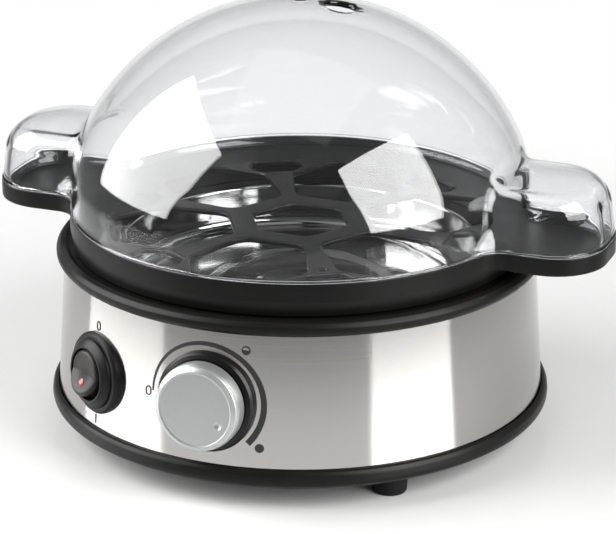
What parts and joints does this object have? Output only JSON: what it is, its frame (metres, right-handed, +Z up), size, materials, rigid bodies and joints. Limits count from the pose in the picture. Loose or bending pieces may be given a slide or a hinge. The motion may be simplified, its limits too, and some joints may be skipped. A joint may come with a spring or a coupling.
{
  "type": "egg cooker",
  "caption": "Round electric egg cooker with a brushed steel base, a turning dial, a rocker switch, a lift-off egg tray and a clear domed lid with finger ears.",
  "frame": {"origin": "on the table under the middle of the base", "axes": "+Z up; the dial faces -Y; the two ears lie along X"},
  "size_m": [0.229, 0.1938, 0.1542],
  "materials": {
    "rubber_black": "soft moulded rubber",
    "plastic_black": "satin black moulding",
    "screw_steel": "zinc plated",
    "brushed_steel": "brushed round the base",
    "silicone": "soft silicone",
    "pan_aluminium": "bright pressed sheet",
    "element_sheath": "heat-darkened sheath",
    "plated_sheet": "zinc plated",
    "thermostat_body": "dark phenolic and steel",
    "ceramic": "glazed",
    "inner_plastic": "plain moulding",
    "collar_black": "satin",
    "print_black": "screen-printed ink",
    "knob_silver": "silver-grey satin paint with a bright bevel",
    "switch_black": "satin",
    "brass_blade": "plain",
    "rocker_black": "satin",
    "lamp_red": "clear red",
    "wire_brown": "sleeved lead",
    "wire_blue": "sleeved lead",
    "wire_grey": "sleeved lead",
    "tray_black": "satin black moulding",
    "lid_clear": "clear polished plastic"
  },
  "bodies": {
    "base": {"feet": "rubber_black", "bottom_cover": "plastic_black", "case_screws": "screw_steel", "base_ring": "plastic_black", "steel_jacket": "brushed_steel", "top_ring": "plastic_black", "pan_gasket": "silicone", "heating_pan": "pan_aluminium", "heating_element": "element_sheath", "clamp_bar": "plated_sheet", "bar_screws": "screw_steel", "thermostat": "thermostat_body", "thermal_fuse": "ceramic", "control_body": "inner_plastic", "control_nut": "plated_sheet", "dial_collar": "collar_black", "dial_scale": "print_black", "switch_bezel": "switch_black", "switch_body": "switch_black", "switch_terminals": "brass_blade", "switch_marks": "print_black", "terminal_block": "inner_plastic", "cord_gland": "plastic_black", "gland_nut": "inner_plastic", "switch_lead": "wire_brown", "neutral_lead": "wire_blue", "heater_lead": "wire_grey"},
    "dial": {"control_shaft": "plated_sheet", "knob_carrier": "inner_plastic", "knob_cap": "knob_silver"},
    "rocker": {"rocker": "rocker_black", "rocker_lamp": "lamp_red"},
    "tray": {"egg_tray": "tray_black"},
    "lid": {"lid": "lid_clear"}
  },
  "joints": [
    {"name": "dial_turn", "type": "hinge", "parent": "base", "child": "dial", "pos_m": [0, -0.08605, 0.037], "axis": [0, -0.9978, 0.0658], "range_deg": [-15, 208]},
    {"name": "rocker_tilt", "type": "hinge", "parent": "base", "child": "rocker", "pos_m": [-0.04802, -0.07395, 0.03513], "axis": [0.8387, -0.5446, 0], "range_deg": [0, 22]},
    {"name": "tray_lift", "type": "slide", "parent": "base", "child": "tray", "axis": [0, 0, 1], "range_m": [0, 0.08]},
    {"name": "lid_lift", "type": "slide", "parent": "tray", "child": "lid", "axis": [0, 0, 1], "range_m": [0, 0.1]}
  ]
}
